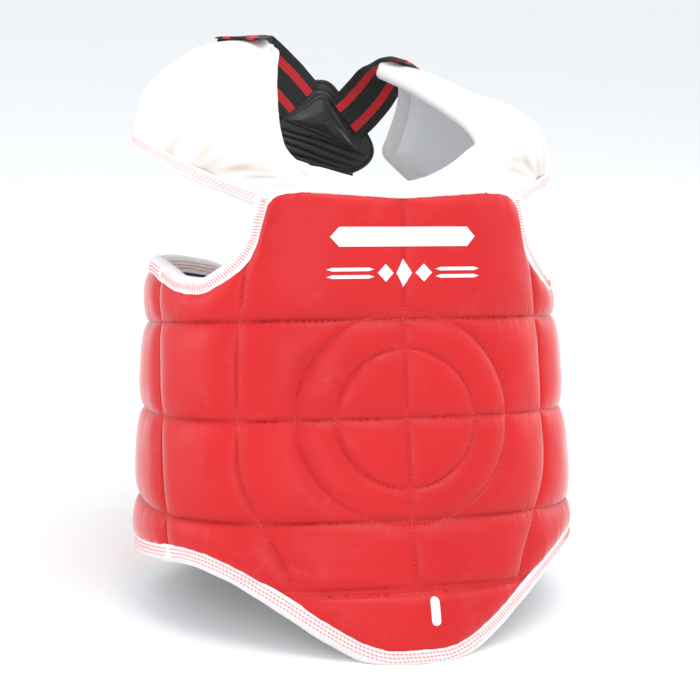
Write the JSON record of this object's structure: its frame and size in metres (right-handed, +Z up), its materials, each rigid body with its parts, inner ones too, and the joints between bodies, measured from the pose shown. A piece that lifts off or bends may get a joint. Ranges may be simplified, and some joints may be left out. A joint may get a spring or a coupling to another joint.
{
  "type": "padded sparring chest protector",
  "caption": "Padded trunk protector with a quilted front, side wings that fold open, shoulder flaps, and an elastic back harness with a small pad.",
  "frame": {"origin": "centre of the bounding box on the surface that the protector stands on, under its hem", "axes": "+Z up; the quilted front faces -Y; +X towards the wearer's left; the protector leans back 13 degrees on the tip of its front hem and the rear corners of its wings"},
  "size_m": [0.3458, 0.3306, 0.4208],
  "materials": {
    "red_vinyl": "satin",
    "white_vinyl": "satin",
    "white_tape": "matte",
    "grey_lining": "matte",
    "black_lining": "matte",
    "black_vinyl": "satin",
    "elastic": "matte",
    "hook_tape": "matte",
    "foam": "matte"
  },
  "bodies": {
    "trunk": {"front_cover": "red_vinyl", "front_foam": "foam", "front_lining": "black_lining", "front_hem_binding": "white_tape", "right_armhole_binding": "white_tape", "left_armhole_binding": "white_tape"},
    "yoke": {"neck_band": "white_vinyl", "neckline_binding": "white_tape", "right_flap_cover": "white_vinyl", "right_flap_foam": "foam", "right_flap_lining": "grey_lining", "right_flap_binding": "white_tape", "right_strap_anchor": "elastic", "left_flap_cover": "white_vinyl", "left_flap_foam": "foam", "left_flap_lining": "grey_lining", "left_flap_binding": "white_tape", "left_strap_anchor": "elastic"},
    "harness": {"pad_inner_cover": "black_vinyl", "pad_foam": "foam", "pad_outer_cover": "black_vinyl", "pad_binding": "black_vinyl", "pad_reinforcement": "black_vinyl", "right_upper_strap": "elastic", "left_upper_strap": "elastic"},
    "right_wing": {"right_wing_cover": "red_vinyl", "right_wing_foam": "foam", "right_wing_lining": "black_lining", "right_wing_binding": "white_tape", "right_loop_patch": "hook_tape"},
    "right_strap": {"right_lower_strap": "elastic", "right_hook_tab": "hook_tape"},
    "left_wing": {"left_wing_cover": "red_vinyl", "left_wing_foam": "foam", "left_wing_lining": "black_lining", "left_wing_binding": "white_tape", "left_loop_patch": "hook_tape"},
    "left_strap": {"left_lower_strap": "elastic", "left_hook_tab": "hook_tape"}
  },
  "joints": [
    {"name": "right_wing_fold", "type": "hinge", "parent": "trunk", "child": "right_wing", "pos_m": [-0.16269, -0.01958, 0.15059], "axis": [0.031, 0.384, 0.9228], "range_deg": [0, 35]},
    {"name": "left_wing_fold", "type": "hinge", "parent": "trunk", "child": "left_wing", "pos_m": [0.16269, -0.01958, 0.15059], "axis": [0.031, -0.384, -0.9228], "range_deg": [0, 35]},
    {"name": "yoke_fold", "type": "hinge", "parent": "trunk", "child": "yoke", "pos_m": [0, -0.06324, 0.32725], "axis": [1, 0, 0], "range_deg": [0, 20]},
    {"name": "harness_lift", "type": "hinge", "parent": "yoke", "child": "harness", "pos_m": [0, 0.12317, 0.42123], "axis": [1, 0, 0], "range_deg": [0, 30]},
    {"name": "right_strap_release", "type": "hinge", "parent": "harness", "child": "right_strap", "pos_m": [0, 0.15449, 0.29905], "axis": [1, 0, 0], "range_deg": [0, 55]},
    {"name": "left_strap_release", "type": "hinge", "parent": "harness", "child": "left_strap", "pos_m": [0, 0.15449, 0.29905], "axis": [1, 0, 0], "range_deg": [0, 55]}
  ],
  "couplings": [
    {"joint": "right_strap_release", "follows": "right_wing_fold", "ratio": 1.5},
    {"joint": "left_strap_release", "follows": "left_wing_fold", "ratio": 1.5}
  ]
}
